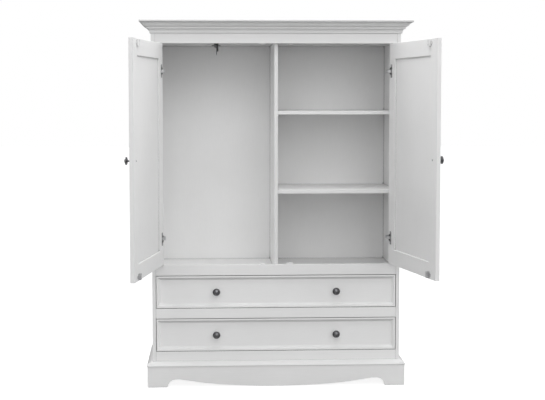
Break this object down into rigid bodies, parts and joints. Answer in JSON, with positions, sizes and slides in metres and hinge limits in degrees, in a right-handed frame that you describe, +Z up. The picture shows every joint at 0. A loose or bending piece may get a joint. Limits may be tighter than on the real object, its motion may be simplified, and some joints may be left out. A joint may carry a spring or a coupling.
{
  "type": "armoire",
  "caption": "White wardrobe with inset doors over drawers, hanging space with pull-out rail, shelves, moulded cornice and bracket-foot plinth.",
  "frame": {"origin": "on the floor, at the middle of the underside of the rear plinth board", "axes": "+Z up, front towards -Y, +X to the right when facing the front"},
  "size_m": [1.5465, 1.1122, 1.951],
  "materials": {
    "white_paint": "satin white paint on wood board",
    "white_back": "matt white-faced thin board",
    "pale_wood": "pale sealed board, unpainted inside parts",
    "white_plastic": "white moulded plastic",
    "zinc_steel": "zinc-plated pressed steel",
    "black_steel": "black lacquered steel",
    "dark_pewter": "dark antique pewter plating"
  },
  "bodies": {
    "case": {"side_panel_left": "white_paint", "side_panel_right": "white_paint", "centre_divider": "white_paint", "top_panel": "white_paint", "cabinet_floor": "white_paint", "back_panel": "white_back", "top_rail": "white_paint", "floor_rail": "white_paint", "drawer_rail": "white_paint", "bottom_rail": "white_paint", "cornice_moulding": "white_paint", "cornice_top_board": "white_paint", "base_moulding": "white_paint", "plinth_front": "white_paint", "plinth_left": "white_paint", "plinth_right": "white_paint", "plinth_back": "white_paint", "shelf_upper": "white_paint", "shelf_lower": "white_paint", "dust_board": "pale_wood", "case_bottom": "pale_wood", "hanger_channel": "black_steel", "hinge_arm_left_upper": "zinc_steel", "hinge_arm_left_lower": "zinc_steel", "hinge_arm_right_upper": "zinc_steel", "hinge_arm_right_lower": "zinc_steel", "catch_left_upper": "white_plastic", "catch_left_lower": "white_plastic", "catch_right_upper": "white_plastic", "catch_right_lower": "white_plastic"},
    "left_door": {"left_door_frame": "white_paint", "left_door_panel": "white_paint", "left_door_knob": "dark_pewter", "hinge_cup_left_upper": "zinc_steel", "hinge_cup_left_lower": "zinc_steel", "left_door_catch_plate_upper": "zinc_steel", "left_door_catch_plate_lower": "zinc_steel"},
    "right_door": {"right_door_frame": "white_paint", "right_door_panel": "white_paint", "right_door_knob": "dark_pewter", "hinge_cup_right_upper": "zinc_steel", "hinge_cup_right_lower": "zinc_steel", "right_door_catch_plate_upper": "zinc_steel", "right_door_catch_plate_lower": "zinc_steel"},
    "upper_drawer": {"upper_drawer_front": "white_paint", "upper_drawer_side_left": "pale_wood", "upper_drawer_side_right": "pale_wood", "upper_drawer_back": "pale_wood", "upper_drawer_bottom": "pale_wood", "upper_drawer_knob_left": "dark_pewter", "upper_drawer_knob_right": "dark_pewter"},
    "lower_drawer": {"lower_drawer_front": "white_paint", "lower_drawer_side_left": "pale_wood", "lower_drawer_side_right": "pale_wood", "lower_drawer_back": "pale_wood", "lower_drawer_bottom": "pale_wood", "lower_drawer_knob_left": "dark_pewter", "lower_drawer_knob_right": "dark_pewter"},
    "hanger_slide": {"hanger_slide": "black_steel"}
  },
  "joints": [
    {"name": "left_door_hinge", "type": "hinge", "parent": "case", "child": "left_door", "pos_m": [-0.6307, -0.47714, 0.8], "axis": [0, 0, -1], "range_deg": [-100.2, 9.8]},
    {"name": "right_door_hinge", "type": "hinge", "parent": "case", "child": "right_door", "pos_m": [0.63089, -0.47617, 0.8], "axis": [0, 0, 1], "range_deg": [-102.1, 7.9]},
    {"name": "upper_drawer_slide", "type": "slide", "parent": "case", "child": "upper_drawer", "axis": [0, -1, 0], "range_m": [0, 0.34]},
    {"name": "lower_drawer_slide", "type": "slide", "parent": "case", "child": "lower_drawer", "axis": [0, -1, 0], "range_m": [0, 0.34]},
    {"name": "hanger_pull_out", "type": "slide", "parent": "case", "child": "hanger_slide", "axis": [0, -1, 0], "range_m": [0, 0.25]}
  ]
}
